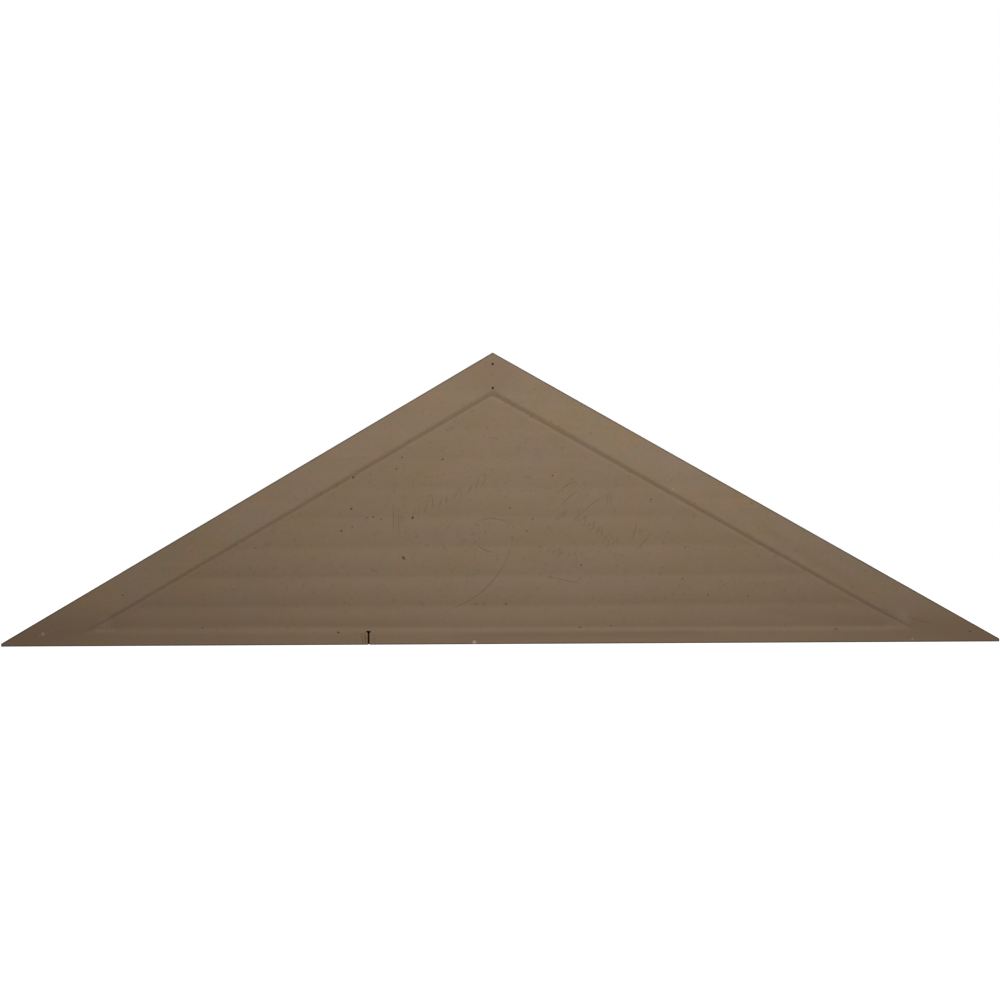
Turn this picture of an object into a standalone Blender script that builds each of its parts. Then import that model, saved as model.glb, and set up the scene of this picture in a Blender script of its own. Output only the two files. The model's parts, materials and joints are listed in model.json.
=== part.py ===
"""A gable louver vent: a low triangle cast in one piece of rigid urethane foam.

The vent stands upright, as on a gable wall. X runs along the bottom edge, Z is up and Y is the depth.
The plain back with its shallow recess lies at Y 0 and faces -Y, and the louvered front faces +Y.
The origin is on the back face, midway between the tips and half way up the flat of the bottom rim.
Lengths are in metres. Heights are counted from the bottom edge until the whole is moved to its origin.
"""

import math

import bmesh
import bpy
from mathutils import Vector

NAME = "gable_louver_vent"

# Outline of the casting
WIDTH = 1.676
HEIGHT = 0.489
DEPTH = 0.054
TIP_HEIGHT = 0.005
DRAFT = 0.001
BACK_ARRIS = 0.001
FRONT_ARRIS = 0.0012
ARRIS_STEPS = 3

# Shallow recess in the back, inside a flat rim
RAKE_RIM = 0.052
BOTTOM_RIM = 0.0176
RECESS_SLOPE = 0.009
RECESS_DEPTH = 0.0028
RECESS_EDGE = 0.0002
RECESS_STEPS = 6

# Trim round the louvers: a flat, a small step down, a quarter-round bead and a narrow flat
RAKE_TRIM = 0.042
BOTTOM_TRIM = 0.0145
TRIM_STEP = 0.003
BEAD_RADIUS = 0.009
BEAD_STEPS = 6
BEAD_FLAT = 0.003
BEAD_FLAT_TILT = math.radians(3)
WALL_DRAFT = 0.0015

# Louvers, all of one pitch. The first lip is the lowest one above the sill blade on the bottom trim
LOUVER_PITCH = 0.0495
FIRST_LIP = 0.0675
LOUVER_REACH = 0.022
VALLEY_WALL = 0.021
LIP_HEIGHT = 0.009
LIP_RADIUS = 0.003
LIP_STEPS = 4
UNDERSIDE_RISE = 0.004

# Slot cut up from the bottom edge into the back, with a wider head
SLOT_X = -0.2127
SLOT_WIDTH = 0.0034
SLOT_HEIGHT = 0.0233
SLOT_HEAD_WIDTH = 0.0088
SLOT_HEAD_HEIGHT = 0.004
SLOT_DEPTH = 0.016

# Pin holes one above the other under the apex
PIN_RADIUS = 0.0017
PIN_DEPTH = 0.018
PIN_DROPS = (0.0193, 0.0596)
PIN_SIDES = 16

# How far a cutter runs out past the face that it cuts, and in behind the louvers
OVERRUN = 0.01
UNDERRUN = 0.0025
# The most of a blunt tip's height that the arrises may take
TIP_SHARE = 0.8
WELD = 1e-6
SMOOTH_BELOW = math.radians(35)

FOAM_COLOR = (0.218, 0.157, 0.103, 1.0)
FOAM_ROUGHNESS = 0.62

RISE_PER_RUN = (HEIGHT - TIP_HEIGHT) / (WIDTH / 2)
# Height that a rake loses where it moves inward by one unit
DROP_PER_INSET = math.hypot(1, RISE_PER_RUN)
ORIGIN_HEIGHT = BOTTOM_RIM / 2


def gable_outline(inset=0.0):
    """The five corners of the casting, or of the same outline moved inward all round."""
    end = WIDTH / 2 - inset
    peak = HEIGHT - inset * DROP_PER_INSET
    shoulder = peak - RISE_PER_RUN * end
    return [(-end, inset), (end, inset), (end, shoulder), (0.0, peak), (-end, shoulder)]


def inner_triangle(rake_inset, bottom_inset):
    """A triangle inside the casting, with its own distance from the rakes and from the bottom edge."""
    peak = HEIGHT - rake_inset * DROP_PER_INSET
    end = (peak - bottom_inset) / RISE_PER_RUN
    return [(-end, bottom_inset), (end, bottom_inset), (0.0, peak)]


def rounded(corners, radii, steps):
    """The points of an open line with an arc of its own radius at each inner corner."""
    points = [Vector(corners[0])]
    for before, corner, after, radius in zip(corners, corners[1:], corners[2:], radii):
        corner = Vector(corner)
        back = (Vector(before) - corner).normalized()
        on = (Vector(after) - corner).normalized()
        half = back.angle(on) / 2
        center = corner + (back + on).normalized() * radius / math.sin(half)
        start = corner + back * radius / math.tan(half) - center
        turn = back.angle_signed(on)
        sweep = math.copysign(math.pi - abs(turn), turn)
        for step in range(steps + 1):
            angle = sweep * step / steps
            spun = Vector((
                start.x * math.cos(angle) - start.y * math.sin(angle),
                start.x * math.sin(angle) + start.y * math.cos(angle),
            ))
            points.append(center + spun)
    points.append(Vector(corners[-1]))
    return points


def collection_named(name):
    collection = bpy.data.collections.new(name)
    bpy.context.scene.collection.children.link(collection)
    return collection


def flat_solid(name, outline, half_length, collection, rotation, location):
    """A closed outline, filled and extruded both ways by half_length, as a mesh object."""
    curve = bpy.data.curves.new(name, "CURVE")
    curve.dimensions = "2D"
    curve.fill_mode = "BOTH"
    curve.extrude = half_length
    spline = curve.splines.new("POLY")
    spline.points.add(len(outline) - 1)
    for point, (across, up) in zip(spline.points, outline):
        point.co = (across, up, 0.0, 1.0)
    spline.use_cyclic_u = True
    drawn = bpy.data.objects.new(name + "_outline", curve)
    drawn.rotation_euler = rotation
    drawn.location = location
    collection.objects.link(drawn)
    bpy.context.view_layer.update()
    evaluated = drawn.evaluated_get(bpy.context.evaluated_depsgraph_get())
    mesh = bpy.data.meshes.new_from_object(evaluated)
    mesh.name = name
    mesh.transform(drawn.matrix_world)
    bpy.data.objects.remove(drawn)
    shape = bmesh.new()
    shape.from_mesh(mesh)
    bmesh.ops.remove_doubles(shape, verts=shape.verts, dist=WELD)
    bmesh.ops.dissolve_limit(
        shape, angle_limit=math.radians(0.1), verts=shape.verts, edges=shape.edges
    )
    bmesh.ops.recalc_face_normals(shape, faces=shape.faces)
    shape.to_mesh(mesh)
    shape.free()
    solid = bpy.data.objects.new(name, mesh)
    collection.objects.link(solid)
    return solid


def plate(name, outline, low, high, collection):
    """An outline in X and Z, from depth low to depth high."""
    return flat_solid(
        name, outline, (high - low) / 2, collection, (math.pi / 2, 0, 0), (0, (low + high) / 2, 0)
    )


def step_in(solid, facing, steps):
    """Carries the face that looks along facing on by steps of (inward, outward), mitred at the corners."""
    shape = bmesh.new()
    shape.from_mesh(solid.data)
    shape.normal_update()
    face = max(shape.faces, key=lambda f: f.normal.y * facing * f.calc_area())
    for inward, outward in steps:
        bmesh.ops.inset_region(
            shape, faces=[face], thickness=inward, depth=outward, use_even_offset=True
        )
    shape.to_mesh(solid.data)
    shape.free()


def arc_steps(radius, count, convex):
    """Steps round a quarter circle: level first and steep at the end if convex, else the other way."""
    turns = [math.pi / 2 * step / count for step in range(count + 1)]
    level = [radius * (math.sin(b) - math.sin(a)) for a, b in zip(turns, turns[1:])]
    fall = [radius * (math.cos(a) - math.cos(b)) for a, b in zip(turns, turns[1:])]
    return list(zip(level, fall)) if convex else list(zip(fall, level))


def eased_steps(width, depth, count):
    """Steps down a slope that starts and ends level."""
    falls = [depth * (1 - math.cos(math.pi * step / count)) / 2 for step in range(count + 1)]
    return [(width / count, b - a) for a, b in zip(falls, falls[1:])]


def narrow_arris(wanted, inset):
    """An arris no wider than the blunt tips leave room for, on the outline moved inward by inset."""
    corners = gable_outline(inset)
    end_height = corners[2][1] - corners[1][1]
    lost_per_inset = 1 + DROP_PER_INSET - RISE_PER_RUN
    return min(wanted, TIP_SHARE * end_height / lost_per_inset)


def cast_slab(collection):
    """The solid casting before anything is cut: its sides taper to the front and both arrises are eased."""
    back = narrow_arris(BACK_ARRIS, 0.0)
    front = narrow_arris(FRONT_ARRIS, DRAFT)
    middle = DEPTH / 2
    slab = plate(NAME, gable_outline(), back, middle, collection)
    side = DEPTH - front - middle
    step_in(slab, 1, [(DRAFT, side), *arc_steps(front, ARRIS_STEPS, False)])
    step_in(slab, -1, arc_steps(back, ARRIS_STEPS, False))
    return slab


def recess_cutter(collection):
    cutter = plate(
        "recess_cutter", inner_triangle(RAKE_RIM, BOTTOM_RIM), -OVERRUN, RECESS_EDGE, collection
    )
    step_in(cutter, 1, eased_steps(RECESS_SLOPE, RECESS_DEPTH - RECESS_EDGE, RECESS_STEPS))
    return cutter


def field_inset():
    """How far the louver field lies inside the trim's flat."""
    return BEAD_RADIUS + BEAD_FLAT


def field_cutter(collection):
    """The hollow that holds the louvers, with the trim's moulded inner edge."""
    cutter = plate(
        "field_cutter",
        inner_triangle(RAKE_TRIM, BOTTOM_TRIM),
        DEPTH - TRIM_STEP,
        DEPTH + OVERRUN,
        collection,
    )
    flat_fall = BEAD_FLAT * math.tan(BEAD_FLAT_TILT)
    flat_bottom = DEPTH - TRIM_STEP - BEAD_RADIUS - flat_fall
    wall = (WALL_DRAFT, flat_bottom - VALLEY_WALL + UNDERRUN)
    step_in(cutter, -1, [*arc_steps(BEAD_RADIUS, BEAD_STEPS, True), (BEAD_FLAT, flat_fall), wall])
    add_boolean(cutter, louver_block(collection))
    return cutter


def louver_line():
    """The louvers in section, from the sill blade up, as (depth, height) points."""
    peak = HEIGHT - (RAKE_TRIM + field_inset()) * DROP_PER_INSET
    first_base = FIRST_LIP - LIP_HEIGHT / 2 - UNDERSIDE_RISE
    lip = VALLEY_WALL + LOUVER_REACH
    line = []
    for index in range(-1, math.ceil((peak - first_base) / LOUVER_PITCH)):
        base = first_base + index * LOUVER_PITCH
        corners = [
            (VALLEY_WALL, base),
            (lip, base + UNDERSIDE_RISE),
            (lip, base + UNDERSIDE_RISE + LIP_HEIGHT),
            (VALLEY_WALL, base + LOUVER_PITCH),
        ]
        line += rounded(corners, (LIP_RADIUS, LIP_RADIUS), LIP_STEPS)[:-1]
    return [*line, Vector(corners[-1])]


def louver_block(collection):
    """All the louvers as one saw-toothed bar, longer than the field that it fills."""
    line = louver_line()
    inner = VALLEY_WALL - OVERRUN
    low = line[0].y - OVERRUN
    high = line[-1].y + OVERRUN
    outline = [(inner, high), (inner, low), (line[0].x, low), *line, (line[-1].x, high)]
    block = flat_solid(
        "louver_block",
        outline,
        WIDTH / 2,
        collection,
        (math.pi / 2, 0, math.pi / 2),
        (0, 0, 0),
    )
    return as_cutter(block)


def slot_cutter(collection):
    stem = SLOT_WIDTH / 2
    head = SLOT_HEAD_WIDTH / 2
    under_head = SLOT_HEIGHT - SLOT_HEAD_HEIGHT
    right = [(stem, -OVERRUN), (stem, under_head), (head, SLOT_HEIGHT)]
    left = [(-across, up) for across, up in reversed(right)]
    outline = [(SLOT_X + across, up) for across, up in right + left]
    return plate("slot_cutter", outline, -OVERRUN, SLOT_DEPTH, collection)


def pin_cutter(drop, collection):
    bpy.ops.mesh.primitive_cylinder_add(
        vertices=PIN_SIDES,
        radius=PIN_RADIUS,
        depth=PIN_DEPTH + OVERRUN,
        rotation=(math.pi / 2, 0, 0),
        location=(0, (PIN_DEPTH - OVERRUN) / 2, HEIGHT - drop),
    )
    cutter = bpy.context.object
    cutter.name = "pin_cutter"
    for holder in cutter.users_collection:
        holder.objects.unlink(cutter)
    collection.objects.link(cutter)
    return cutter


def as_cutter(solid):
    solid.hide_render = True
    solid.display_type = "WIRE"
    return solid


def add_boolean(solid, cutter):
    modifier = solid.modifiers.new(cutter.name, "BOOLEAN")
    modifier.operation = "DIFFERENCE"
    modifier.solver = "EXACT"
    modifier.object = as_cutter(cutter)


def foam_material():
    material = bpy.data.materials.new("tan_urethane_foam")
    material.use_nodes = True
    shader = material.node_tree.nodes["Principled BSDF"]
    shader.inputs["Base Color"].default_value = FOAM_COLOR
    shader.inputs["Roughness"].default_value = FOAM_ROUGHNESS
    shader.inputs["Metallic"].default_value = 0.0
    return material


def build():
    for leftover in list(bpy.data.objects):
        bpy.data.objects.remove(leftover)
    vent_collection = collection_named(NAME)
    cutters = collection_named("cutters")
    vent = cast_slab(vent_collection)
    tools = [recess_cutter(cutters), field_cutter(cutters), slot_cutter(cutters)]
    tools += [pin_cutter(drop, cutters) for drop in PIN_DROPS]
    for tool in tools:
        add_boolean(vent, tool)
    vent.data.materials.append(foam_material())
    vent.data.shade_smooth()
    vent.data.set_sharp_from_angle(angle=SMOOTH_BELOW)
    for solid in [vent, *cutters.objects]:
        solid.location.z -= ORIGIN_HEIGHT


build()
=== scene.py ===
"""The looks of a gable louver vent, cast in one piece of rigid urethane foam and seen from its back.

Lengths are in metres, in the part's own frame: X runs along the bottom edge, Z is up, and Y goes from
the back, at 0, to the louvered front. The casting is modelled again here with finer arcs, and a relief
of the back is cut into it: the recess, the sink marks of the louvers, strokes, pits and worn edges.
"""

import collections
import json
import math

import bmesh
import bpy
import numpy as np
from mathutils import Euler, Matrix, Vector, noise
from mathutils.geometry import delaunay_2d_cdt

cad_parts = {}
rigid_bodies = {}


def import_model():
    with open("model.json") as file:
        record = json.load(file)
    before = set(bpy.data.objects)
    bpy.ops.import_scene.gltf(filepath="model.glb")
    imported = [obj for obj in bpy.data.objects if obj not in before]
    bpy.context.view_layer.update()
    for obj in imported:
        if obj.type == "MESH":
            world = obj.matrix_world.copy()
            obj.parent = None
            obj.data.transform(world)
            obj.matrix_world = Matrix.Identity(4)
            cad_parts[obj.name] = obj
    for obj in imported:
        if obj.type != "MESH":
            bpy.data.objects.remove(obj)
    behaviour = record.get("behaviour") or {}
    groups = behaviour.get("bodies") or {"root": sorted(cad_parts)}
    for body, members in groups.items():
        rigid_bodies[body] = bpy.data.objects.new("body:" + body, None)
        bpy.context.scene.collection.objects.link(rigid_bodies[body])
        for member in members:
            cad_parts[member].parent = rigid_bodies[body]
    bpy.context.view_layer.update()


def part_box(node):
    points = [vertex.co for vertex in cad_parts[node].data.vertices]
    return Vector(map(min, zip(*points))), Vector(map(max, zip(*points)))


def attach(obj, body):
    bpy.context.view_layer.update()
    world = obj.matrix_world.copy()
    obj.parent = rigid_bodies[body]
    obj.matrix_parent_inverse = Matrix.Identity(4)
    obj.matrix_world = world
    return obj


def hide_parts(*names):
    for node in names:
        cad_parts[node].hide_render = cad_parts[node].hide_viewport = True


NODE = "gable_louver_vent"
PIECE = "vent_casting"
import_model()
LOW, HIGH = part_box(NODE)

# Outline of the casting, from the solid's own box
WIDTH = HIGH.x - LOW.x
DEPTH = HIGH.y
BOTTOM = LOW.z
TOP = HIGH.z
TIP_HEIGHT = 0.005
RISE_PER_RUN = (TOP - BOTTOM - TIP_HEIGHT) / (WIDTH / 2)
DROP_PER_INSET = math.hypot(1, RISE_PER_RUN)
DRAFT = 0.001
FRONT_ARRIS = 0.0012
ARRIS_STEPS = 4

# Recess in the back, as the solid has it
RAKE_RIM = 0.052
BOTTOM_RIM = 0.0176
RECESS_SLOPE = 0.009
RECESS_DEPTH = 0.0028

# Its edge here: where the slope starts, how steep it is at the bottom and at the apex, and what share of
# that the left rake, the right rake and some places along the bottom have
RAKE_WALL_START = 0.0541
BOTTOM_WALL_START = 0.0210
WALL_SLOPES = (0.60, 0.45)
RAKE_WALL_SHARES = (1.04, 0.92)
BOTTOM_WALL_PLACES = (-0.40, 0.0, 0.50)
BOTTOM_WALL_SHARES = (0.44, 0.54, 0.66)
WALL_TOP_ROUND = 0.0015
WALL_FOOT_ROUND = 0.0007
SOFT_CORNER = 0.006

# Its floor: the depths at some heights above the bottom edge, and a shallow groove along the slope's foot
FLOOR_HEIGHTS = (0.020, 0.055, 0.420)
FLOOR_DEPTHS = (0.0013, 0.0023, 0.0028)
GROOVE_SHARE = 0.42
GROOVE_REACH = 0.007

# Trim round the louvers
RAKE_TRIM = 0.042
BOTTOM_TRIM = 0.0145
TRIM_STEP = 0.003
BEAD_RADIUS = 0.009
BEAD_STEPS = 12
BEAD_FLAT = 0.003
BEAD_FLAT_TILT = math.radians(3)
WALL_DRAFT = 0.0015

# Louvers, with their heights above the bottom edge
LOUVER_PITCH = 0.0495
FIRST_LIP = 0.0675
LOUVER_REACH = 0.022
VALLEY_WALL = 0.021
LIP_HEIGHT = 0.009
LIP_RADIUS = 0.003
LIP_STEPS = 8
UNDERSIDE_RISE = 0.004

# Sink marks that the louver lips leave in the back: the steepest slope beside a crease, and the share
# of it at the bottom edge and from SINK_TOP above that edge on. Each crease lies a little below its lip,
# and the marks fade in over the recess's edge.
SINK_SLOPE = 0.082
SINK_SHARES = (1.5, 0.4)
SINK_TOP = 0.32
SINK_DROP = 0.003
SINK_FADE = 2 * RECESS_SLOPE
CREASE_HALF_WIDTH = 0.0038

# Slot and pin holes
SLOT_X = -0.2127
SLOT_WIDTH = 0.0034
SLOT_HEIGHT = 0.0233
SLOT_HEAD_WIDTH = 0.0088
SLOT_HEAD_HEIGHT = 0.004
SLOT_DEPTH = 0.016
PIN_RADIUS = 0.0017
PIN_DEPTH = 0.018
PIN_DROPS = (0.0193, 0.0596)
PIN_SIDES = 24

# Worn edge of the back, and the width of the painted dark line of shade along the left rake, the right
# rake and the bottom
BACK_ARRIS = 0.0016
EDGE_LINES = (0.0029, 0.0026, 0.0026)

# Waviness of the cast back over its mean, as (height, cells per metre across, cells per metre up). It
# fades out towards the outline, except where the relief is deeper than RELIEF_ABOVE.
WAVES = ((0.00022, 9, 14), (0.00005, 45, 60))
WAVE_MEAN = 0.00018
WAVE_FADE = 3 * BACK_ARRIS
WAVE_SEED = 17.0
RELIEF_ABOVE = 1e-4

# How far a cut runs past what it cuts, outside and under the louvers
OVERRUN = 0.01
UNDERRUN = 0.0025
# Points this close are one, an edge is sharp above one angle, and faces are one flat face below the other
WELD = 1e-6
SHARP_ABOVE = math.radians(32)
FLAT_BELOW = math.radians(0.1)

# A scratched stroke: its start, its heading in degrees above +X, its length, how far it turns and how
# dirty it is
STROKE_DIRT = 0.23
Stroke = collections.namedtuple("Stroke", "x z heading length turn dirt", defaults=(STROKE_DIRT,))
# A row of strokes: where the first one starts, the step to the next, their number, lean, length and turn
Row = collections.namedtuple("Row", "x z step_x step_z count lean length turn")

STROKE_HALF_WIDTH = 0.0014
STROKE_DEPTH = 0.0005
STROKE_STEP = 0.0013
LEAST_STROKE_STEPS = 4
STROKES = (
    Stroke(0.030, 0.1885, 139, 0.062, 68),
    Stroke(-0.0345, 0.166, -62, 0.044, 62),
    Stroke(0.0325, 0.171, -100, 0.178, -66),
    Stroke(-0.1695, 0.228, -91, 0.048, 2),
    Stroke(-0.1615, 0.216, -92, 0.037, 8),
    Stroke(0.0850, 0.1025, -7, 0.059, -8),
    Stroke(0.1430, 0.2030, 52, 0.058, -30),
    Stroke(0.1110, 0.2205, 50, 0.037, -18),
    Stroke(0.1065, 0.2410, 52, 0.042, -40),
    Stroke(0.2395, 0.1960, -98, 0.036, -16),
    Stroke(0.2640, 0.1770, -124, 0.042, -12),
    Stroke(-0.2235, 0.0130, -92, 0.021, 10, 0.42),
    Stroke(-0.2275, 0.0085, -62, 0.007, -20),
    Stroke(-0.2186, 0.0140, -90, 0.023, 2, 0.75),
    Stroke(-0.2042, 0.0120, -88, 0.020, 0, 0.16),
    Stroke(0.6860, 0.0335, -24, 0.045, 14, 0.16),
)
ROWS = (
    Row(-0.1400, 0.1990, 0.0118, 0.0053, 11, 72, 0.023, -16),
    Row(0.1020, 0.1960, 0.0065, 0.0010, 3, 62, 0.015, 0),
    Row(0.1400, 0.2020, 0.0062, -0.0056, 8, 60, 0.013, 30),
    Row(0.1330, 0.1960, 0.0070, -0.0040, 5, 48, 0.010, -36),
    Row(0.0880, 0.1440, 0.0100, -0.0030, 3, 70, 0.008, 16),
    Row(0.1240, 0.1370, 0.0100, 0.0020, 3, 62, 0.008, 12),
    Row(0.1900, 0.1530, 0.0080, 0.0005, 3, 74, 0.009, 20),
    Row(0.1900, 0.2200, 0.0060, 0.0000, 2, 88, 0.020, 2),
)
# How far the strokes of a row stray in X, in Z, in lean and as a share of their length
ROW_DRIFTS = (0.0012, 0.0015, 11, 0.3)
ROW_SEED = 5

# Pits in the skin, as (x, z, radius), and how dirty they are
PITS = (
    (-0.1534, 0.1367, 0.0026),
    (-0.1512, 0.1338, 0.0014),
    (-0.2404, 0.2197, 0.0022),
    (-0.1369, 0.2038, 0.0021),
    (-0.2576, 0.1829, 0.0019),
    (-0.2390, 0.1895, 0.0012),
    (-0.2034, 0.2060, 0.0013),
    (-0.1900, 0.2017, 0.0013),
    (-0.2130, 0.2045, 0.0010),
    (-0.0855, 0.3016, 0.0016),
    (-0.2366, 0.2727, 0.0017),
    (-0.1537, 0.3055, 0.0013),
    (-0.1640, 0.2863, 0.0013),
    (0.0263, 0.2193, 0.0012),
    (0.0988, 0.2731, 0.0014),
    (0.2631, 0.2315, 0.0014),
    (0.0553, 0.1805, 0.0012),
    (0.0647, 0.2005, 0.0012),
    (0.1453, 0.1229, 0.0015),
    (0.3145, 0.0984, 0.0012),
    (0.3567, 0.0714, 0.0013),
    (0.4231, 0.0693, 0.0013),
    (0.3191, 0.1510, 0.0012),
    (-0.0312, 0.0588, 0.0012),
    (0.0191, 0.0584, 0.0013),
    (0.1427, 0.0184, 0.0012),
    (0.1946, 0.0206, 0.0010),
    (-0.2641, 0.0122, 0.0014),
    (-0.6293, 0.0768, 0.0015),
    (-0.4396, 0.0848, 0.0010),
    (-0.4945, 0.0211, 0.0010),
    (-0.4034, 0.1554, 0.0010),
    (0.5686, 0.0135, 0.0012),
    (0.7885, 0.0080, 0.0011),
    (0.7905, 0.0086, 0.0011),
)
PIT_DEPTH_PER_RADIUS = 1.1
PIT_FULLNESS = 0.6
PIT_DIRT = 0.45

# The chip in the bottom edge: its middle, half sizes and depth, and how steep its sides are
CHIP = (-0.0343, -0.0050)
CHIP_HALF_WIDTH = 0.0046
CHIP_HALF_HEIGHT = 0.0046
CHIP_DEPTH = 0.0009
CHIP_STEEPNESS = 1.6

# Light specks and rubbed patches, as (x, z, radius, strength), and how many radii they reach
SPECKS = (
    (-0.7657, 0.0125, 0.0030, 0.45),
    (-0.7720, 0.0095, 0.0014, 0.30),
    (-0.7580, 0.0160, 0.0016, 0.14),
    (-0.7500, 0.0190, 0.0016, 0.14),
    (-0.7420, 0.0208, 0.0016, 0.12),
    (-0.7340, 0.0216, 0.0016, 0.10),
    (-0.7250, 0.0218, 0.0016, 0.08),
    (0.2999, 0.2488, 0.0015, 0.45),
    (0.6950, -0.0038, 0.0018, 0.45),
    (-0.6600, 0.0300, 0.0110, 0.09),
    (-0.6740, 0.0180, 0.0030, 0.12),
    (-0.6680, 0.0172, 0.0030, 0.14),
    (-0.6610, 0.0174, 0.0030, 0.14),
    (-0.6540, 0.0178, 0.0030, 0.12),
    (-0.6470, 0.0180, 0.0030, 0.10),
    (0.6780, 0.0290, 0.0120, 0.10),
    (0.6580, 0.0200, 0.0070, 0.06),
)
SPECK_REACH = 1.5

# Dark smears, as (strength, start, end, half width at the start, half width at the end). At each end
# they fade over one part in SMEAR_FADE of their length. The first five are stains; the wide band along
# the bottom edge and the two wedges into the lower corners are painted shade where the light falls off,
# and the last one makes the apex darker.
STAIN_AND_SHADE_SMEARS = (
    (0.35, (0.4325, 0.1960), (0.6335, 0.0647), 0.010, 0.016),
    (0.60, (0.4300, 0.0480), (0.6700, 0.0240), 0.012, 0.018),
    (1.00, (-0.0950, 0.0040), (0.3900, 0.0095), 0.013, 0.008),
    (0.30, (-0.5000, 0.0340), (-0.0800, 0.0220), 0.008, 0.008),
    (0.60, (0.6400, 0.0510), (0.6950, 0.0190), 0.007, 0.006),
    (0.57, (-1.3000, -0.0100), (1.3000, -0.0100), 0.120, 0.120),
    (0.82, (-1.1000, -0.0300), (-0.5800, 0.0360), 0.080, 0.022),
    (0.68, (1.1000, -0.0300), (0.6200, 0.0300), 0.080, 0.020),
    (0.55, (0.0000, 0.5600), (0.0000, 0.4000), 0.100, 0.100),
)
SMEAR_FADE = 6
# How much painted shade darkens the recess at some places along its width
RECESS_SHADE_PLACES = (-0.60, -0.30, 0.00, 0.60)
RECESS_SHADES = (0.40, 0.32, 0.28, 0.39)
# Everything up to this depth belongs to the back, and the painted shade in the holes deepens over the
# second depth
BACK_DEPTH = 0.008
HOLE_SHADE_DEPTH = 0.004
# How far painted shade darkens the upper and the lower pin hole inside, and how dirty the foam round them
# is
PIN_SHADES = (0.0, 1.0)
PIN_DIRT = 0.4
PIN_DIRT_REACH = 0.0014

# How closely the relief is sampled: an even grid, and rows of points along its edges, creases and strokes
GRID_STEP = 0.0045
ROW_STEP = 0.004
OUTER_ROW = -0.00005
RECESS_ROWS = 19
FIRST_RECESS_ROW = -0.0015
LAST_RECESS_ROW = RECESS_SLOPE + 0.007
CREASE_ROWS = 5
STROKE_ROWS = (-1, -0.5, 0, 0.5, 1)
# Rings of points round the pits, the pin holes and the specks, in radii
RING_SIDES = 14
PIT_RINGS = (0.4, 0.7, 0.9, 1.0, 1.25, 1.7)
SPECK_RINGS = (0.5, 1.0, 1.5)
# Points over the chip, across and up, and how many half sizes they reach
CHIP_GRID = (14, 10)
CHIP_GRID_REACH = 1.3
# How far the grid keeps outside and inside the recess's edge, and how many radii from a pit and half
# widths from a stroke
RIM_MARGIN = 0.004
FLOOR_MARGIN = RECESS_SLOPE + 0.009
PIT_CLEARANCE = 2.4
STROKE_CLEARANCE = 2.2

# Colours of the foam, of what lies on it, and of the painted shade
FOAM = (0.2505, 0.1775, 0.1158)
OLIVE_TINT = (0.945, 1.012, 1.035)
RED_TINT = (1.05, 0.982, 1.055)
# Colour of the stains, and of the painted shade in the recess, along the bottom and in the lower corners
STAIN_AND_SHADE = (0.188, 0.1232, 0.075, 1.0)
BARE = (0.40, 0.345, 0.30, 1.0)
BARE_STRENGTH = 0.8
# Colour of the dirt, also laid deep in the slot and the pin holes as painted shade
DIRT_AND_HOLE_SHADE = (0.040, 0.019, 0.008, 1.0)
DIRT_AND_HOLE_SHADE_STRENGTH = 0.9
# Colour of the painted shade along the rounded edge of the outline
EDGE_SHADE = (0.032, 0.028, 0.023, 1.0)
EDGE_SHADE_DEPTHS = (0.5 * BACK_ARRIS, 2.5 * BACK_ARRIS)
EDGE_SHADE_LEAST = 0.7

# Noises, as (scale per metre, detail), with the values between which they count and how rough they are
NOISE_SPAN = (0.3, 0.7)
NOISE_ROUGHNESS = 0.55
RED_NOISE = (24, 3)
EDGE_SHADE_NOISE = (14, 2)
SHEEN_NOISE = (40, 3)
SKIN_NOISE = (700, 2)
SKIN_STRENGTH = 0.25
SKIN_HEIGHT = 0.0001
FOAM_ROUGHNESS = (0.66, 0.74)
FOAM_SPECULAR = 0.2

# A layer of mottling multiplies the foam's colour by its tint: the scale, detail and stretch of its
# noise, the values between which it counts, and the tint. In turn: yellow patches, streaks along the
# louvers, clouds, blots, rare specks and fine grain.
Mottle = collections.namedtuple("Mottle", "scale detail stretch span tint")
EVEN = (1, 1, 1)
SPECK_SPAN = (0.672, 0.7)
MOTTLES = (
    Mottle(11, 2, (1, 1, 1.4), NOISE_SPAN, (1.013, 1.0, 0.82)),
    Mottle(60, 3, (0.08, 0.3, 1), NOISE_SPAN, (0.95, 0.95, 0.95)),
    Mottle(5, 4, EVEN, NOISE_SPAN, (0.94, 0.94, 0.935)),
    Mottle(130, 3, EVEN, NOISE_SPAN, (0.955, 0.95, 0.945)),
    Mottle(150, 1, EVEN, SPECK_SPAN, (0.86, 0.84, 0.82)),
    Mottle(600, 2, EVEN, NOISE_SPAN, (0.93, 0.925, 0.92)),
)

# Sockets of the Mix node for two colours and their mixture
MIX_FIRST = 6
MIX_SECOND = 7
MIX_RESULT = 2

# Studio: the floor, the even light and the round lamps, as (name, place, size, power)
FLOOR_HEIGHT = -0.75
FLOOR_HALF_SIZE = 30.0
FLOOR_COLOR = (0.8, 0.8, 0.79, 1.0)
FLOOR_ROUGHNESS = 0.9
FLOOR_GLOW = 0.95
AMBIENT = 0.2
LAMP_AIM = (0.05, 0.0, 0.2)
LAMPS = (
    ("key_light", (0.20, -1.5, 0.68), 0.7, 16.6),
    ("top_light", (0.05, -0.9, 1.55), 0.6, 7.6),
    ("front_light", (-1.4, 2.4, 2.0), 1.2, 120.0),
)
CAMERA_PLACE = (0.2113, -4.0, 0.2328)
CAMERA_YAW = 2.874
CAMERA_ROLL = -0.474
CAMERA_LENS = 86.03


# Plan of the casting and distances in it


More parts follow.
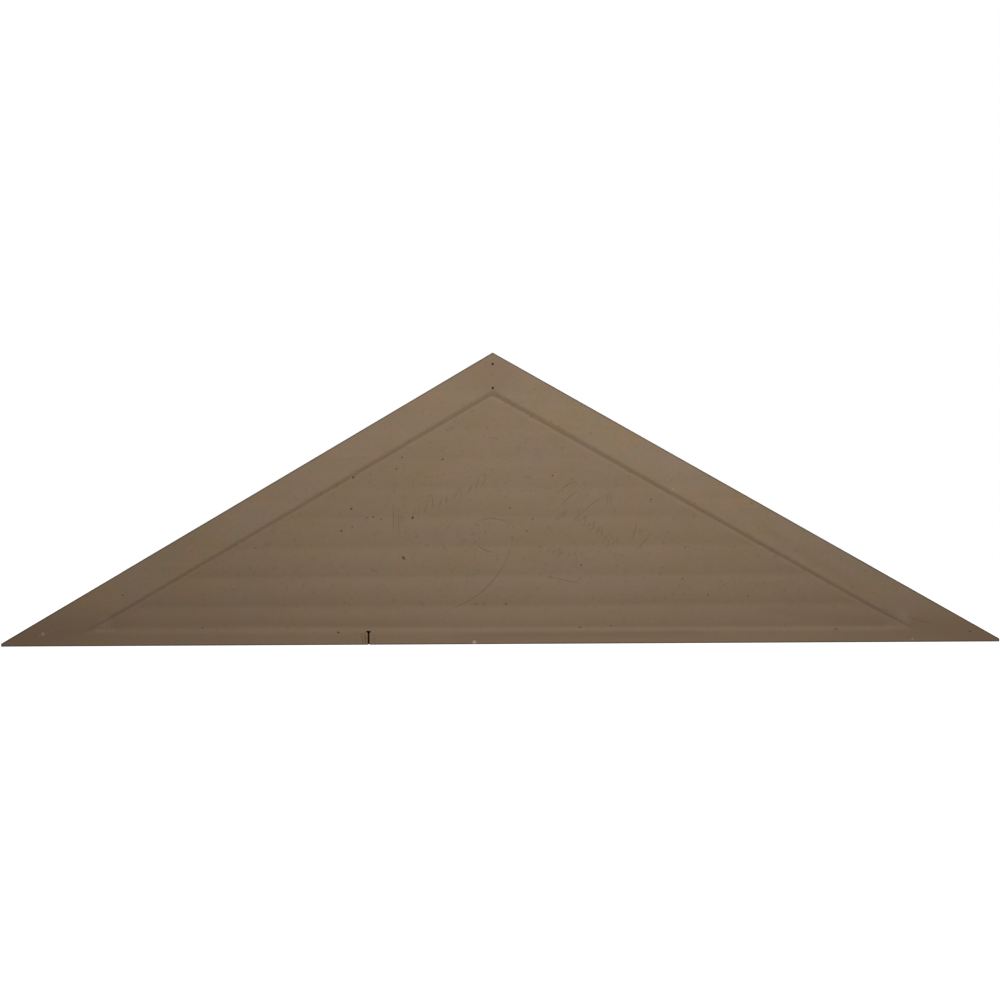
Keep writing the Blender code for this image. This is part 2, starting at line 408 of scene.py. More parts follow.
def gable_outline(inset=0.0):
    """The five corners of the casting, or of the same outline moved inward all round."""
    end = WIDTH / 2 - inset
    peak = TOP - inset * DROP_PER_INSET
    shoulder = peak - RISE_PER_RUN * end
    return [(-end, BOTTOM + inset), (end, BOTTOM + inset), (end, shoulder), (0.0, peak), (-end, shoulder)]


def inner_triangle(rake_inset, bottom_inset):
    """A triangle inside the casting, with its own distance from the rakes and from the bottom edge."""
    peak = TOP - rake_inset * DROP_PER_INSET
    base = BOTTOM + bottom_inset
    end = (peak - base) / RISE_PER_RUN
    return [(-end, base), (end, base), (0.0, peak)]


def ring(x, z, radius, sides):
    """The corners of an even polygon round a place."""
    turns = np.arange(sides) * 2 * math.pi / sides
    return [(x + radius * math.cos(turn), z + radius * math.sin(turn)) for turn in turns]


def rake_distance(x, z, side):
    """How far points lie inside the left rake, for side -1, or the right one, for side 1."""
    return (TOP - RISE_PER_RUN * side * x - z) / DROP_PER_INSET


def rakes_distance(x, z):
    """How far points lie inside the nearer rake."""
    return np.minimum(rake_distance(x, z, -1), rake_distance(x, z, 1))


def edge_distance(x, z):
    """How far points lie inside the outline."""
    return np.minimum(np.minimum(rakes_distance(x, z), z - BOTTOM), WIDTH / 2 - np.abs(x))


def rim_distance(x, z):
    """How far points lie inside the line where the rim ends."""
    return np.minimum(rakes_distance(x, z) - RAKE_RIM, z - BOTTOM - BOTTOM_RIM)


def soft_min(a, b, width):
    """The smaller of two values, with a round passage between them of about that width."""
    share = np.clip(0.5 + 0.5 * (b - a) / width, 0, 1)
    return b + (a - b) * share - width * share * (1 - share)


def eased(share):
    """A share held between 0 and 1, level at both ends."""
    share = np.clip(share, 0, 1)
    return share * share * (3 - 2 * share)


def recess_distance(x, z):
    """How far points lie down the recess's edge, with rounded corners, and less where it is gentler."""
    left = RAKE_WALL_SHARES[0] * (rake_distance(x, z, -1) - RAKE_WALL_START)
    right = RAKE_WALL_SHARES[1] * (rake_distance(x, z, 1) - RAKE_WALL_START)
    share = np.interp(x, BOTTOM_WALL_PLACES, BOTTOM_WALL_SHARES)
    bottom = share * (z - BOTTOM - BOTTOM_WALL_START)
    return soft_min(soft_min(left, right, SOFT_CORNER), bottom, SOFT_CORNER)


def crease_distance(z):
    """How far heights are from the nearest crease."""
    turns = (z - BOTTOM - FIRST_LIP + SINK_DROP) / LOUVER_PITCH
    return np.abs(turns - np.round(turns)) * LOUVER_PITCH


# Scratched strokes


def arc_points(stroke, offset=0.0):
    """Points along a stroke, or along a line beside it."""
    count = max(LEAST_STROKE_STEPS, round(stroke.length / STROKE_STEP))
    headings = math.radians(stroke.heading) + math.radians(stroke.turn) * (np.arange(count) + 0.5) / count
    steps = np.stack([np.cos(headings), np.sin(headings)], axis=1) * stroke.length / count
    middle = np.concatenate([[(stroke.x, stroke.z)], np.cumsum(steps, axis=0) + (stroke.x, stroke.z)])
    ends = math.radians(stroke.heading) + math.radians(stroke.turn) * np.arange(count + 1) / count
    return middle + offset * np.stack([-np.sin(ends), np.cos(ends)], axis=1)


def all_strokes():
    """The single strokes and those of the rows, which differ a little along a row as hand work does."""
    random = np.random.default_rng(ROW_SEED)
    strokes = list(STROKES)
    for row in ROWS:
        for index in range(row.count):
            x, z, lean, length = random.uniform(-1, 1, 4) * ROW_DRIFTS
            strokes.append(
                Stroke(
                    row.x + row.step_x * index + x,
                    row.z + row.step_z * index + z,
                    row.lean + lean,
                    row.length * (1 + length),
                    row.turn * (1 - 2 * (index % 2)),
                )
            )
    return strokes


def stroke_share(x, z, dirty=False):
    """1 along the middle of a stroke, or its dirt, falling to 0 at its sides and its ends."""
    share = np.zeros_like(x)
    for stroke in all_strokes():
        line = arc_points(stroke)
        low = line.min(axis=0) - STROKE_HALF_WIDTH
        high = line.max(axis=0) + STROKE_HALF_WIDTH
        near = np.nonzero((x > low[0]) & (x < high[0]) & (z > low[1]) & (z < high[1]))[0]
        if not len(near):
            continue
        apart = np.hypot(x[near, None] - line[:, 0], z[near, None] - line[:, 1])
        closest = apart.argmin(axis=1)
        across = np.clip(1 - (apart.min(axis=1) / STROKE_HALF_WIDTH) ** 2, 0, 1) ** 2
        along = np.sin(math.pi * (closest + 0.5) / len(line)) ** 0.5
        share[near] = np.maximum(share[near], across * along * (stroke.dirt if dirty else 1))
    return share


# Relief of the back, as depths into the foam


def sink_depth(z):
    """The bands between the louvers bulge, and a crease lies behind each louver lip."""
    half_pitch = LOUVER_PITCH / 2
    away = crease_distance(z)
    crease = SINK_SLOPE * (half_pitch / 2 - away**2 / (2 * CREASE_HALF_WIDTH))
    band = SINK_SLOPE * (half_pitch - away) ** 2 / (2 * (half_pitch - CREASE_HALF_WIDTH))
    share = np.interp(z - BOTTOM, (0, SINK_TOP), SINK_SHARES)
    return share * np.where(away < CREASE_HALF_WIDTH, crease, band)


def recess_depth(down, z):
    """An even slope down from the rim to the groove at its foot, and the floor beyond."""
    floor = np.interp(z - BOTTOM, FLOOR_HEIGHTS, FLOOR_DEPTHS)
    steepness = np.interp(z, (BOTTOM, TOP), WALL_SLOPES)
    slope = steepness * (down + np.hypot(down, WALL_TOP_ROUND)) / 2
    groove = GROOVE_SHARE * floor * (1 - eased((down - floor / steepness) / GROOVE_REACH))
    return np.maximum(0, soft_min(slope, floor + groove, WALL_FOOT_ROUND))


def arris_depth(x, z):
    """The rounding of the edge along the outline."""
    inside = np.clip(edge_distance(x, z), 0, BACK_ARRIS)
    return BACK_ARRIS - np.sqrt(BACK_ARRIS**2 - (BACK_ARRIS - inside) ** 2)


def pit_share(x, z, reach=1.0):
    """1 in the middle of a pit and 0 from its rim on, or from reach times its radius."""
    share = np.zeros_like(x)
    for pit_x, pit_z, radius in PITS:
        away = np.hypot(x - pit_x, z - pit_z) / (radius * reach)
        share = np.maximum(share, np.sqrt(np.clip(1 - away**2, 0, 1)))
    return share


def pit_depth(x, z):
    """Round bowls, deepest in the middle of each pit."""
    depth = np.zeros_like(x)
    for pit_x, pit_z, radius in PITS:
        away = np.hypot(x - pit_x, z - pit_z) / radius
        bowl = PIT_DEPTH_PER_RADIUS * radius * np.clip(1 - away**2, 0, 1) ** PIT_FULLNESS
        depth = np.maximum(depth, bowl)
    return depth


def chip_share(x, z):
    """1 in the middle of the chip, falling to 0 at its edge."""
    across = (x - CHIP[0]) / CHIP_HALF_WIDTH
    up = (z - CHIP[1]) / CHIP_HALF_HEIGHT
    return eased(CHIP_STEEPNESS * (1 - np.hypot(across, up)))


def waviness(x, z):
    """The slight unevenness of a cast face."""
    waves = [
        sum(
            height * noise.noise(Vector((point_x * across, point_z * up, WAVE_SEED)))
            for height, across, up in WAVES
        )
        for point_x, point_z in zip(x.tolist(), z.tolist())
    ]
    return np.array(waves) + WAVE_MEAN


def back_depth(x, z):
    """How deep the back lies at each point, with all its relief."""
    inside = recess_distance(x, z)
    depth = recess_depth(inside, z) + sink_depth(z) * eased(inside / SINK_FADE)
    depth += STROKE_DEPTH * stroke_share(x, z) + pit_depth(x, z) + CHIP_DEPTH * chip_share(x, z)
    rim = np.clip(edge_distance(x, z) / WAVE_FADE, 0, 1)
    return arris_depth(x, z) + (depth + waviness(x, z)) * np.where(depth > RELIEF_ABOVE, 1, rim)


# Marks that the material reads from the mesh


def smear_share(x, z, start, end, start_width, end_width):
    """1 along a straight smear, falling off smoothly to its sides and ends."""
    run = np.subtract(end, start)
    length = math.hypot(*run)
    along = ((x - start[0]) * run[0] + (z - start[1]) * run[1]) / length**2
    across = ((z - start[1]) * run[0] - (x - start[0]) * run[1]) / length
    along = np.clip(along, 0, 1)
    width = start_width + (end_width - start_width) * along
    ends = eased(SMEAR_FADE * along) * eased(SMEAR_FADE * (1 - along))
    return ends * eased(1 - np.abs(across) / width)


def stain_and_shade_share(x, z):
    """Stain smears laid over one another and over painted shade in the recess, along the bottom and in the
    corners.
    """
    recess = eased(recess_distance(x, z) / RECESS_SLOPE)
    clean = 1 - np.interp(x, RECESS_SHADE_PLACES, RECESS_SHADES) * recess
    for strength, *smear in STAIN_AND_SHADE_SMEARS:
        clean *= 1 - strength * smear_share(x, z, *smear)
    return 1 - clean


def hole_shade_share(x, y, z):
    """Painted shade: 1 deep inside the slot and the pin holes, where no light reaches, and 0 on the back.
    """
    deep = eased((y - RECESS_DEPTH) / HOLE_SHADE_DEPTH) * (y < PIN_DEPTH + WELD)
    in_slot = (np.abs(x - SLOT_X) < SLOT_HEAD_WIDTH) & (z < BOTTOM + SLOT_HEIGHT + OVERRUN)
    share = in_slot.astype(float)
    for drop, pin_shade in zip(PIN_DROPS, PIN_SHADES):
        share += pin_shade * (np.hypot(x, z - TOP + drop) < 2 * PIN_RADIUS)
    return deep * share


def pin_dirt_share(x, z):
    """1 at the mouth of a pin hole, falling to 0 a little way round it."""
    away = np.min([np.hypot(x, z - TOP + drop) for drop in PIN_DROPS], axis=0)
    return 1 - eased((away - PIN_RADIUS) / PIN_DIRT_REACH)


def speck_share(x, z):
    """The strength of each speck in its middle, falling to 0 round it."""
    share = np.zeros_like(x)
    for speck_x, speck_z, radius, strength in SPECKS:
        near = eased(SPECK_REACH - np.hypot(x - speck_x, z - speck_z) / radius)
        share = np.maximum(share, strength * near)
    return share


def outline_share(x, z):
    """1 along the outline, falling to 0 a little way in."""
    insides = (rake_distance(x, z, -1), rake_distance(x, z, 1), z - BOTTOM)
    return np.max([1 - eased(inside / line) for inside, line in zip(insides, EDGE_LINES)], axis=0)


def mark_surface(mesh):
    """Stores on the mesh how dirty, stained, bare or near the outline each of its points is, with painted
    shade in the holes, the recess, along the bottom and in the corners.
    """
    points = np.empty(3 * len(mesh.vertices))
    mesh.vertices.foreach_get("co", points)
    x, y, z = points.reshape(-1, 3).T
    behind = y < BACK_DEPTH
    dirt = np.maximum(stroke_share(x, z, dirty=True), PIT_DIRT * pit_share(x, z))
    dirt = np.maximum(dirt, PIN_DIRT * pin_dirt_share(x, z)) * behind
    marks = {
        # Dirt of strokes, pits and pin mouths, and painted shade deep in the slot and the pin holes
        "dirt": np.maximum(dirt, hole_shade_share(x, y, z)),
        # Stains, with painted shade in the recess, along the bottom edge and in the lower corners, and a
        # darker apex
        "stain_and_shade": stain_and_shade_share(x, z) * behind,
        "bare": np.maximum(chip_share(x, z), speck_share(x, z)) * behind,
        # Where the painted shade line along the outline lies
        "outline": outline_share(x, z) * behind,
    }
    for name, values in marks.items():
        mesh.attributes.new(name, "FLOAT", "POINT").data.foreach_set("value", values)


# Sampling of the relief


class Plan:
    """Points and lines in X and Z, from which the triangles of the relief are made."""

    def __init__(self):
        self.points = []
        self.lines = []

    def add_points(self, points):
        self.points += [tuple(point) for point in points]

    def add_line(self, points, closed=False):
        first = len(self.points)
        self.add_points(points)
        last = len(self.points) - 1
        self.lines += [(index, index + 1) for index in range(first, last)]
        if closed:
            self.lines.append((last, first))

    def add_rings(self, x, z, radii):
        for radius in radii:
            self.add_points(ring(x, z, radius, RING_SIDES))

    def triangles(self):
        """The points as an array, and the triangles between them, which keep to the lines."""
        made = delaunay_2d_cdt(self.points, self.lines, [], 0, WELD, False)
        return np.array([tuple(point) for point in made[0]]), made[2]


def subdivided(corners, step):
    """A closed outline with extra points, no further apart than step."""
    points = []
    for start, end in zip(corners, corners[1:] + corners[:1]):
        count = max(1, math.ceil(math.dist(start, end) / step))
        for index in range(count):
            share = index / count
            points.append(tuple(a + (b - a) * share for a, b in zip(start, end)))
    return points


def clear_of_strokes(x, z):
    """Those of the points that no stroke is near, as pairs."""
    clear = np.ones(len(x), bool)
    for stroke in all_strokes():
        line = arc_points(stroke)
        apart = np.hypot(x[:, None] - line[::2, 0], z[:, None] - line[::2, 1]).min(axis=1)
        clear &= apart > STROKE_CLEARANCE * STROKE_HALF_WIDTH
    return np.stack([x[clear], z[clear]], axis=1)


def level_rows(heights):
    """Points a grid step apart along level rows, as an array of X and one of Z."""
    across = np.arange(LOW.x + GRID_STEP / 2, HIGH.x, GRID_STEP)
    x, z = np.meshgrid(across, heights)
    return x.ravel(), z.ravel()


def grid_points():
    """An even grid over the back, left out where rows of points follow an edge, a stroke or a pit."""
    x, z = level_rows(np.arange(BOTTOM + GRID_STEP / 2, TOP, GRID_STEP))
    inside = rim_distance(x, z)
    free = (inside < -RIM_MARGIN) | (inside > FLOOR_MARGIN)
    free &= edge_distance(x, z) > 2 * max(EDGE_LINES)
    free &= pit_share(x, z, PIT_CLEARANCE) == 0
    free &= crease_distance(z) > CREASE_HALF_WIDTH + GRID_STEP / 4
    return clear_of_strokes(x[free], z[free])


def crease_points():
    """Level rows of points across the recess, along each crease."""
    creases = np.arange(BOTTOM + FIRST_LIP - SINK_DROP, TOP, LOUVER_PITCH)
    rows = creases[:, None] + np.linspace(-1, 1, CREASE_ROWS) * CREASE_HALF_WIDTH
    x, z = level_rows(rows.ravel())
    free = (rim_distance(x, z) > FLOOR_MARGIN) & (pit_share(x, z, PIT_CLEARANCE) == 0)
    return clear_of_strokes(x[free], z[free])


def chip_points():
    """A fine grid over the chip, as far as the worn edge."""
    spans = [np.linspace(-CHIP_GRID_REACH, CHIP_GRID_REACH, count) for count in CHIP_GRID]
    across, up = np.meshgrid(*spans)
    x = CHIP[0] + across.ravel() * CHIP_HALF_WIDTH
    z = CHIP[1] + up.ravel() * CHIP_HALF_HEIGHT
    inside = edge_distance(x, z) > BACK_ARRIS
    return np.stack([x[inside], z[inside]], axis=1)


def relief_plan():
    """Rows of points along every form of the back, and an even grid over the rest."""
    plan = Plan()
    plan.add_line(gable_outline(-OVERRUN), closed=True)
    turns = np.linspace(0, math.pi / 2, ARRIS_STEPS + 1)[1:]
    line = max(EDGE_LINES)
    for inset in (OUTER_ROW, *(BACK_ARRIS * (1 - np.cos(turns))), line, 2 * line):
        plan.add_line(subdivided(gable_outline(inset), ROW_STEP), closed=True)
    for inset in np.linspace(FIRST_RECESS_ROW, LAST_RECESS_ROW, RECESS_ROWS):
        corners = inner_triangle(RAKE_RIM + inset, BOTTOM_RIM + inset)
        plan.add_line(subdivided(corners, ROW_STEP), closed=True)
    for stroke in all_strokes():
        for share in STROKE_ROWS:
            plan.add_line(arc_points(stroke, share * STROKE_HALF_WIDTH))
    for x, z, radius in PITS:
        plan.add_points([(x, z)])
        plan.add_rings(x, z, [radius * share for share in PIT_RINGS])
    plan.add_points(chip_points())
    for drop in PIN_DROPS:
        plan.add_rings(0.0, TOP - drop, (PIN_RADIUS + PIN_DIRT_REACH / 2, PIN_RADIUS + PIN_DIRT_REACH))
    for x, z, radius, _ in SPECKS:
        plan.add_rings(x, z, [radius * share for share in SPECK_RINGS])
    plan.add_points(crease_points())
    plan.add_points(grid_points())
    return plan


def relief_cutter(collection):
    """A closed block behind the casting, whose front is the surface of the back."""
    points, faces = relief_plan().triangles()
    depths = back_depth(points[:, 0], points[:, 1])
    outside = edge_distance(points[:, 0], points[:, 1]) < 0
    depths[outside] = BACK_ARRIS
    shape = bmesh.new()
    verts = [shape.verts.new((x, y, z)) for (x, z), y in zip(points, depths)]
    for face in faces:
        shape.faces.new([verts[index] for index in face])
    border = [edge for edge in shape.edges if edge.is_boundary]
    sides = bmesh.ops.extrude_edge_only(shape, edges=border)["geom"]
    rim = [vert for vert in sides if isinstance(vert, bmesh.types.BMVert)]
    for vert in rim:
        vert.co.y = -2 * OVERRUN
    lid = [edge for edge in sides if isinstance(edge, bmesh.types.BMEdge) and edge.is_boundary]
    bmesh.ops.contextual_create(shape, geom=lid)
    bmesh.ops.recalc_face_normals(shape, faces=shape.faces)
    mesh = bpy.data.meshes.new("relief_cutter")
    shape.to_mesh(mesh)
    shape.free()
    cutter = bpy.data.objects.new("relief_cutter", mesh)
    collection.objects.link(cutter)
    return cutter


# The casting


def flat_solid(name, outline, half_length, collection, rotation, location):
    """A closed outline, filled and extruded both ways by half_length, as a mesh object."""
    curve = bpy.data.curves.new(name, "CURVE")
    curve.dimensions = "2D"
    curve.fill_mode = "BOTH"
    curve.extrude = half_length
    spline = curve.splines.new("POLY")
    spline.points.add(len(outline) - 1)
    for point, (across, up) in zip(spline.points, outline):
        point.co = (across, up, 0.0, 1.0)
    spline.use_cyclic_u = True
    drawn = bpy.data.objects.new(name + "_outline", curve)
    drawn.rotation_euler = rotation
    drawn.location = location
    collection.objects.link(drawn)
    bpy.context.view_layer.update()
    evaluated = drawn.evaluated_get(bpy.context.evaluated_depsgraph_get())
    mesh = bpy.data.meshes.new_from_object(evaluated)
    mesh.name = name
    mesh.transform(drawn.matrix_world)
    bpy.data.objects.remove(drawn)
    shape = bmesh.new()
    shape.from_mesh(mesh)
    bmesh.ops.remove_doubles(shape, verts=shape.verts, dist=WELD)
    bmesh.ops.dissolve_limit(shape, angle_limit=FLAT_BELOW, verts=shape.verts, edges=shape.edges)
    bmesh.ops.recalc_face_normals(shape, faces=shape.faces)
    shape.to_mesh(mesh)
    shape.free()
    solid = bpy.data.objects.new(name, mesh)
    collection.objects.link(solid)
    return solid


def plate(name, outline, low, high, collection):
    """An outline in X and Z, from depth low to depth high."""
    upright = (math.pi / 2, 0, 0)
    return flat_solid(name, outline, (high - low) / 2, collection, upright, (0, (low + high) / 2, 0))


def step_in(solid, facing, steps):
    """Carries the face that looks along facing on by steps of (inward, outward), mitred at the corners."""
    shape = bmesh.new()
    shape.from_mesh(solid.data)
    shape.normal_update()
    face = max(shape.faces, key=lambda f: f.normal.y * facing * f.calc_area())
    for inward, outward in steps:
        bmesh.ops.inset_region(
            shape, faces=[face], thickness=inward, depth=outward, use_even_offset=True
        )
    shape.to_mesh(solid.data)
    shape.free()


def arc_steps(radius, count, convex):
    """Steps round a quarter circle: level first and steep at the end if convex, else the other way."""
    turns = [math.pi / 2 * step / count for step in range(count + 1)]
    level = [radius * (math.sin(b) - math.sin(a)) for a, b in zip(turns, turns[1:])]
    fall = [radius * (math.cos(a) - math.cos(b)) for a, b in zip(turns, turns[1:])]
    return list(zip(level, fall)) if convex else list(zip(fall, level))


def rounded(corners, radius, steps):
    """The points of an open line with an arc at each inner corner."""
    points = [Vector(corners[0])]
    for before, corner, after in zip(corners, corners[1:], corners[2:]):
        corner = Vector(corner)
        back = (Vector(before) - corner).normalized()
        on = (Vector(after) - corner).normalized()
        half = back.angle(on) / 2
        center = corner + (back + on).normalized() * radius / math.sin(half)
        start = corner + back * radius / math.tan(half) - center
        turn = back.angle_signed(on)
        sweep = math.copysign(math.pi - abs(turn), turn)
        for step in range(steps + 1):
            spin = Matrix.Rotation(sweep * step / steps, 2)
            points.append(center + spin @ start)
    points.append(Vector(corners[-1]))
    return points


def cast_slab(collection):
    """The casting before anything is cut. It runs on behind the back, where the relief trims it."""
    side = DEPTH - FRONT_ARRIS + OVERRUN
    slab = plate(PIECE, gable_outline(), -OVERRUN, OVERRUN, collection)
    step_in(slab, 1, [(DRAFT, side - 2 * OVERRUN), *arc_steps(FRONT_ARRIS, ARRIS_STEPS, False)])
    return slab


def louver_line():
    """The louvers in section, from the sill blade up, as (depth, height) points."""
    peak = TOP - (RAKE_TRIM + BEAD_RADIUS + BEAD_FLAT) * DROP_PER_INSET
    first_base = BOTTOM + FIRST_LIP - LIP_HEIGHT / 2 - UNDERSIDE_RISE
    lip = VALLEY_WALL + LOUVER_REACH
    line = []
    for index in range(-1, math.ceil((peak - first_base) / LOUVER_PITCH)):
        base = first_base + index * LOUVER_PITCH
        corners = [
            (VALLEY_WALL, base),
            (lip, base + UNDERSIDE_RISE),
            (lip, base + UNDERSIDE_RISE + LIP_HEIGHT),
            (VALLEY_WALL, base + LOUVER_PITCH),
        ]
        line += rounded(corners, LIP_RADIUS, LIP_STEPS)[:-1]
    return [*line, Vector(corners[-1])]


def louver_block(collection):
    """All the louvers as one saw-toothed bar, longer than the field that it fills."""
    line = louver_line()
    inner = VALLEY_WALL - OVERRUN
    low = line[0].y - OVERRUN
    high = line[-1].y + OVERRUN
    outline = [(inner, high), (inner, low), (line[0].x, low), *line, (line[-1].x, high)]
    turned = (math.pi / 2, 0, math.pi / 2)
    return flat_solid("louver_block", outline, WIDTH / 2, collection, turned, (0, 0, 0))


def field_cutter(collection):
    """The hollow that holds the louvers, with the trim's moulded inner edge."""
    outline = inner_triangle(RAKE_TRIM, BOTTOM_TRIM)
    cutter = plate("field_cutter", outline, DEPTH - TRIM_STEP, DEPTH + OVERRUN, collection)
    flat_fall = BEAD_FLAT * math.tan(BEAD_FLAT_TILT)
    flat_bottom = DEPTH - TRIM_STEP - BEAD_RADIUS - flat_fall
    wall = (WALL_DRAFT, flat_bottom - VALLEY_WALL + UNDERRUN)
    step_in(cutter, -1, [*arc_steps(BEAD_RADIUS, BEAD_STEPS, True), (BEAD_FLAT, flat_fall), wall])
    cut(cutter, louver_block(collection))
    return cutter


def slot_cutter(collection):
    """The slot with its wide head, open at the bottom edge."""
    stem = SLOT_WIDTH / 2
    head = SLOT_HEAD_WIDTH / 2
    top = BOTTOM + SLOT_HEIGHT
    right = [(stem, BOTTOM - OVERRUN), (stem, top - SLOT_HEAD_HEIGHT), (head, top)]
    left = [(-across, up) for across, up in reversed(right)]
    outline = [(SLOT_X + across, up) for across, up in right + left]
    return plate("slot_cutter", outline, -2 * OVERRUN, SLOT_DEPTH, collection)


def pin_cutter(drop, collection):
    """A pin hole that far below the apex."""
    outline = ring(0.0, TOP - drop, PIN_RADIUS, PIN_SIDES)
    return plate("pin_cutter", outline, -2 * OVERRUN, PIN_DEPTH, collection)


def cut(solid, cutter):
    """Cuts one object's shape out of another."""
    modifier = solid.modifiers.new(cutter.name, "BOOLEAN")
    modifier.operation = "DIFFERENCE"
    modifier.solver = "EXACT"
    modifier.object = cutter


def vent_piece():
    """The whole casting as one mesh, with all its cuts applied."""
    workshop = bpy.data.collections.new("workshop")
    bpy.context.scene.collection.children.link(workshop)
    slab = cast_slab(workshop)
    cut(slab, field_cutter(workshop))
    cut(slab, slot_cutter(workshop))
    for drop in PIN_DROPS:
        cut(slab, pin_cutter(drop, workshop))
    cut(slab, relief_cutter(workshop))
    bpy.context.view_layer.update()
    evaluated = slab.evaluated_get(bpy.context.evaluated_depsgraph_get())
    mesh = bpy.data.meshes.new_from_object(evaluated)
    for tool in list(workshop.objects):
        bpy.data.objects.remove(tool)
    bpy.data.collections.remove(workshop)
    mesh.name = PIECE
    mesh.materials.clear()
    mark_surface(mesh)
    piece = bpy.data.objects.new(PIECE, mesh)
    bpy.context.scene.collection.objects.link(piece)
    mesh.shade_smooth()
    mesh.set_sharp_from_angle(angle=SHARP_ABOVE)
    weighted = piece.modifiers.new("flat_faces_first", "WEIGHTED_NORMAL")
    weighted.keep_sharp = True
    return piece


# Material


def add_node(tree, kind, sockets=None, **settings):
    """A shader node with its settings, and with a value or another node's output on each named socket."""
    made = tree.nodes.new("ShaderNode" + kind)
    for name, value in settings.items():
        setattr(made, name, value)
    for name, value in (sockets or {}).items():
        if isinstance(value, bpy.types.NodeSocket):
            tree.links.new(value, made.inputs[name])
        else:
            made.inputs[name].default_value = value
    return made


def spread(tree, value, low, high, to_low, to_high):
    """A value's place between low and high, carried over to between to_low and to_high."""
    made = add_node(
        tree,
        "MapRange",
        {"Value": value, "From Min": low, "From Max": high, "To Min": to_low, "To Max": to_high},
    )
    return made.outputs["Result"]


def noise_share(tree, place, scale, detail, stretch=EVEN, span=NOISE_SPAN):
    """Noise with features of about 1 / scale metres, as a share of the span that counts."""
    moved = add_node(tree, "Mapping", {"Vector": place, "Scale": stretch}).outputs["Vector"]
    made = add_node(
        tree,
        "TexNoise",
        {"Vector": moved, "Scale": scale, "Detail": detail, "Roughness": NOISE_ROUGHNESS},
    )
    return spread(tree, made.outputs["Fac"], *span, 0.0, 1.0)


def blended(tree, share, first, second, blend="MIX"):
    """The first colour with a share of the second laid over it."""
    sockets = {"Factor": share, MIX_FIRST: first, MIX_SECOND: second}
    made = add_node(tree, "Mix", sockets, data_type="RGBA", blend_type=blend, clamp_result=False)
    return made.outputs[MIX_RESULT]


def product(tree, first, second):
    """Two values multiplied."""
    return add_node(tree, "Math", {0: first, 1: second}, operation="MULTIPLY").outputs[0]


def mark(tree, name, strength):
    """A mark stored on the mesh, as a share from 0 to strength."""
    read = add_node(tree, "Attribute", attribute_name=name)
    return spread(tree, read.outputs["Fac"], 0.0, 1.0, 0.0, strength)


def foam_color(tree, place):
    """Brown foam between reddish and olive, with all its layers of mottling."""
    olive, reddish = ((*np.multiply(FOAM, tint), 1.0) for tint in (OLIVE_TINT, RED_TINT))
    color = blended(tree, noise_share(tree, place, *RED_NOISE), olive, reddish)
    for layer in MOTTLES:
        share = noise_share(tree, place, layer.scale, layer.detail, layer.stretch, layer.span)
        color = blended(tree, share, color, (*layer.tint, 1.0), "MULTIPLY")
    return color


def edge_shade_share(tree, place):
    """A patchy dark line of painted shade along the outline, which fades out on the sides just past the
    worn edge.
    """
    depth = add_node(tree, "SeparateXYZ", {"Vector": place}).outputs["Y"]
    behind = spread(tree, depth, *EDGE_SHADE_DEPTHS, 1.0, 0.0)
    patchy = spread(tree, noise_share(tree, place, *EDGE_SHADE_NOISE), 0.0, 1.0, EDGE_SHADE_LEAST, 1.0)
    return product(tree, product(tree, behind, patchy), mark(tree, "outline", 1.0))


def foam_material():
    """Dull foam with a fine skin, and with stains, bare places, dirt and painted shade where the mesh is
    marked.
    """
    material = bpy.data.materials.new("primed_foam_surface")
    material.use_nodes = True
    tree = material.node_tree
    tree.nodes.clear()
    place = add_node(tree, "TexCoord").outputs["Object"]
    color = foam_color(tree, place)
    # Stains, and painted shade in the recess, along the bottom and in the lower corners
    color = blended(tree, mark(tree, "stain_and_shade", 1.0), color, STAIN_AND_SHADE)
    color = blended(tree, mark(tree, "bare", BARE_STRENGTH), color, BARE)
    # Painted shade along the outline
    color = blended(tree, edge_shade_share(tree, place), color, EDGE_SHADE)
    # Dirt, and painted shade inside the slot and the pin holes
    color = blended(tree, mark(tree, "dirt", DIRT_AND_HOLE_SHADE_STRENGTH), color, DIRT_AND_HOLE_SHADE)
    skin = noise_share(tree, place, *SKIN_NOISE)
    bump = add_node(tree, "Bump", {"Strength": SKIN_STRENGTH, "Distance": SKIN_HEIGHT, "Height": skin})
    rough = spread(tree, noise_share(tree, place, *SHEEN_NOISE), 0.0, 1.0, *FOAM_ROUGHNESS)
    shader = add_node(
        tree,
        "BsdfPrincipled",
        {"Base Color": color, "Roughness": rough, "Normal": bump.outputs["Normal"]},
    )
    shader.inputs["Specular IOR Level"].default_value = FOAM_SPECULAR
    out = add_node(tree, "OutputMaterial", {"Surface": shader.outputs["BSDF"]})
    out.is_active_output = True
    return material


# Studio


def placed(name, data, place):
    """A new object in the scene, holding this data."""
    made = bpy.data.objects.new(name, data)
    made.location = place
    bpy.context.scene.collection.objects.link(made)
    return made


def studio_lamp(name, place, size, power):
    """A soft round lamp, aimed at the middle of the object."""
    data = bpy.data.lights.new(name, "AREA")
    data.shape = "DISK"
    data.size = size
    data.energy = power
    lamp = placed(name, data, place)
    lamp.rotation_euler = (Vector(place) - Vector(LAMP_AIM)).to_track_quat("Z", "Y").to_euler()


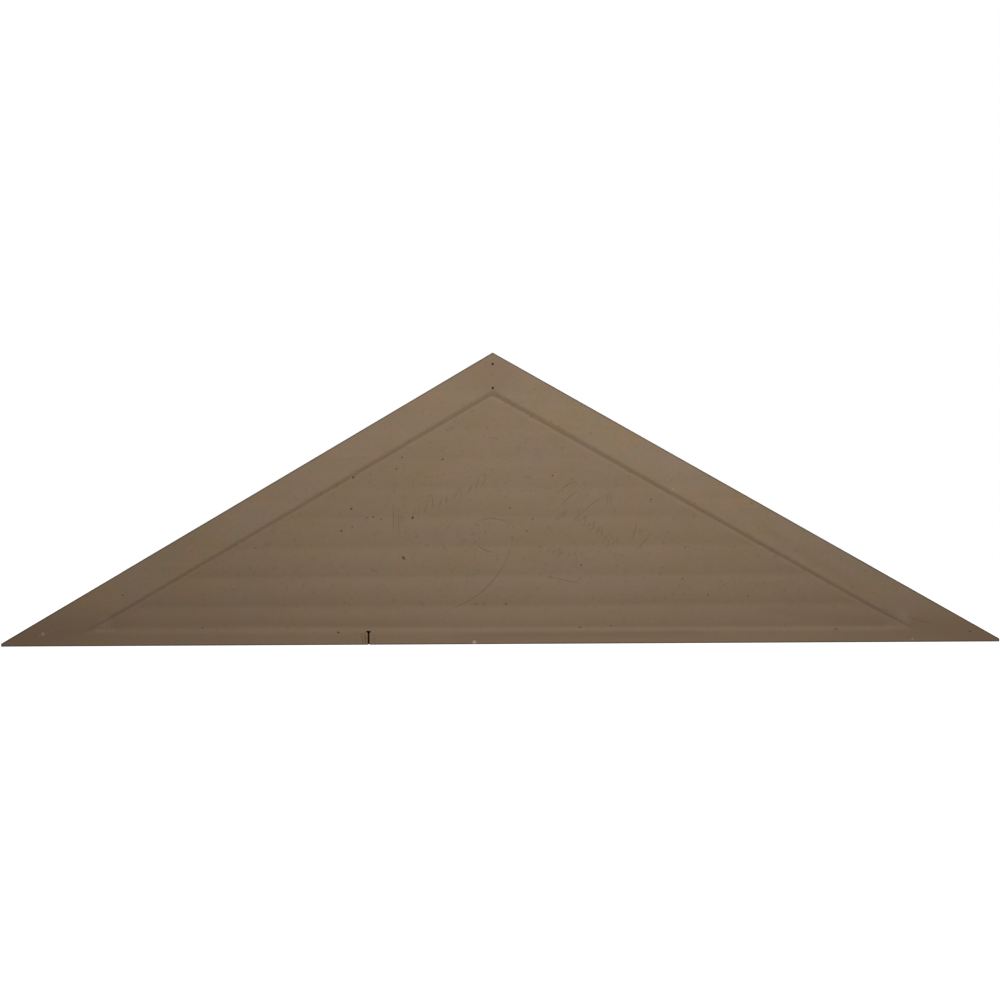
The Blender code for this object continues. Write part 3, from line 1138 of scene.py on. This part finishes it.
def white_surroundings():
    """White where the camera sees past the object, and a dimmer even light on everything else."""
    world = bpy.data.worlds.new("surroundings")
    world.use_nodes = True
    tree = world.node_tree
    tree.nodes.clear()
    seen = add_node(tree, "LightPath").outputs["Is Camera Ray"]
    strength = spread(tree, seen, 0.0, 1.0, AMBIENT, 1.0)
    light = add_node(tree, "Background", {"Color": (1, 1, 1, 1), "Strength": strength})
    add_node(tree, "OutputWorld", {"Surface": light.outputs["Background"]})
    bpy.context.scene.world = world


def pale_floor():
    """A wide floor that glows nearly white to the camera and throws no light on the object."""
    mesh = bpy.data.meshes.new("floor")
    half = FLOOR_HALF_SIZE
    corners = [(-half, -half, 0), (half, -half, 0), (half, half, 0), (-half, half, 0)]
    mesh.from_pydata(corners, [], [(0, 1, 2, 3)])
    floor = placed("floor", mesh, (0, 0, FLOOR_HEIGHT))
    material = bpy.data.materials.new("pale_floor")
    material.use_nodes = True
    shader = material.node_tree.nodes["Principled BSDF"]
    shader.inputs["Base Color"].default_value = FLOOR_COLOR
    shader.inputs["Roughness"].default_value = FLOOR_ROUGHNESS
    shader.inputs["Specular IOR Level"].default_value = 0.0
    shader.inputs["Emission Color"].default_value = (1, 1, 1, 1)
    shader.inputs["Emission Strength"].default_value = FLOOR_GLOW
    mesh.materials.append(material)
    floor.visible_diffuse = False
    floor.visible_glossy = False


def studio_camera():
    """The camera at the photograph's viewing angle, level with the object and a little rolled."""
    data = bpy.data.cameras.new("camera")
    data.lens = CAMERA_LENS
    camera = placed("camera", data, CAMERA_PLACE)
    facing = Euler((math.pi / 2, 0, math.radians(CAMERA_YAW))).to_matrix()
    camera.rotation_euler = (facing @ Matrix.Rotation(math.radians(CAMERA_ROLL), 3, "Z")).to_euler()
    bpy.context.scene.camera = camera


def main():
    """Makes the piece and its studio."""
    piece = vent_piece()
    piece.data.materials.append(foam_material())
    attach(piece, "root")
    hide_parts(NODE)
    for lamp in LAMPS:
        studio_lamp(*lamp)
    white_surroundings()
    pale_floor()
    studio_camera()
    bpy.context.scene.view_settings.view_transform = "Standard"


main()
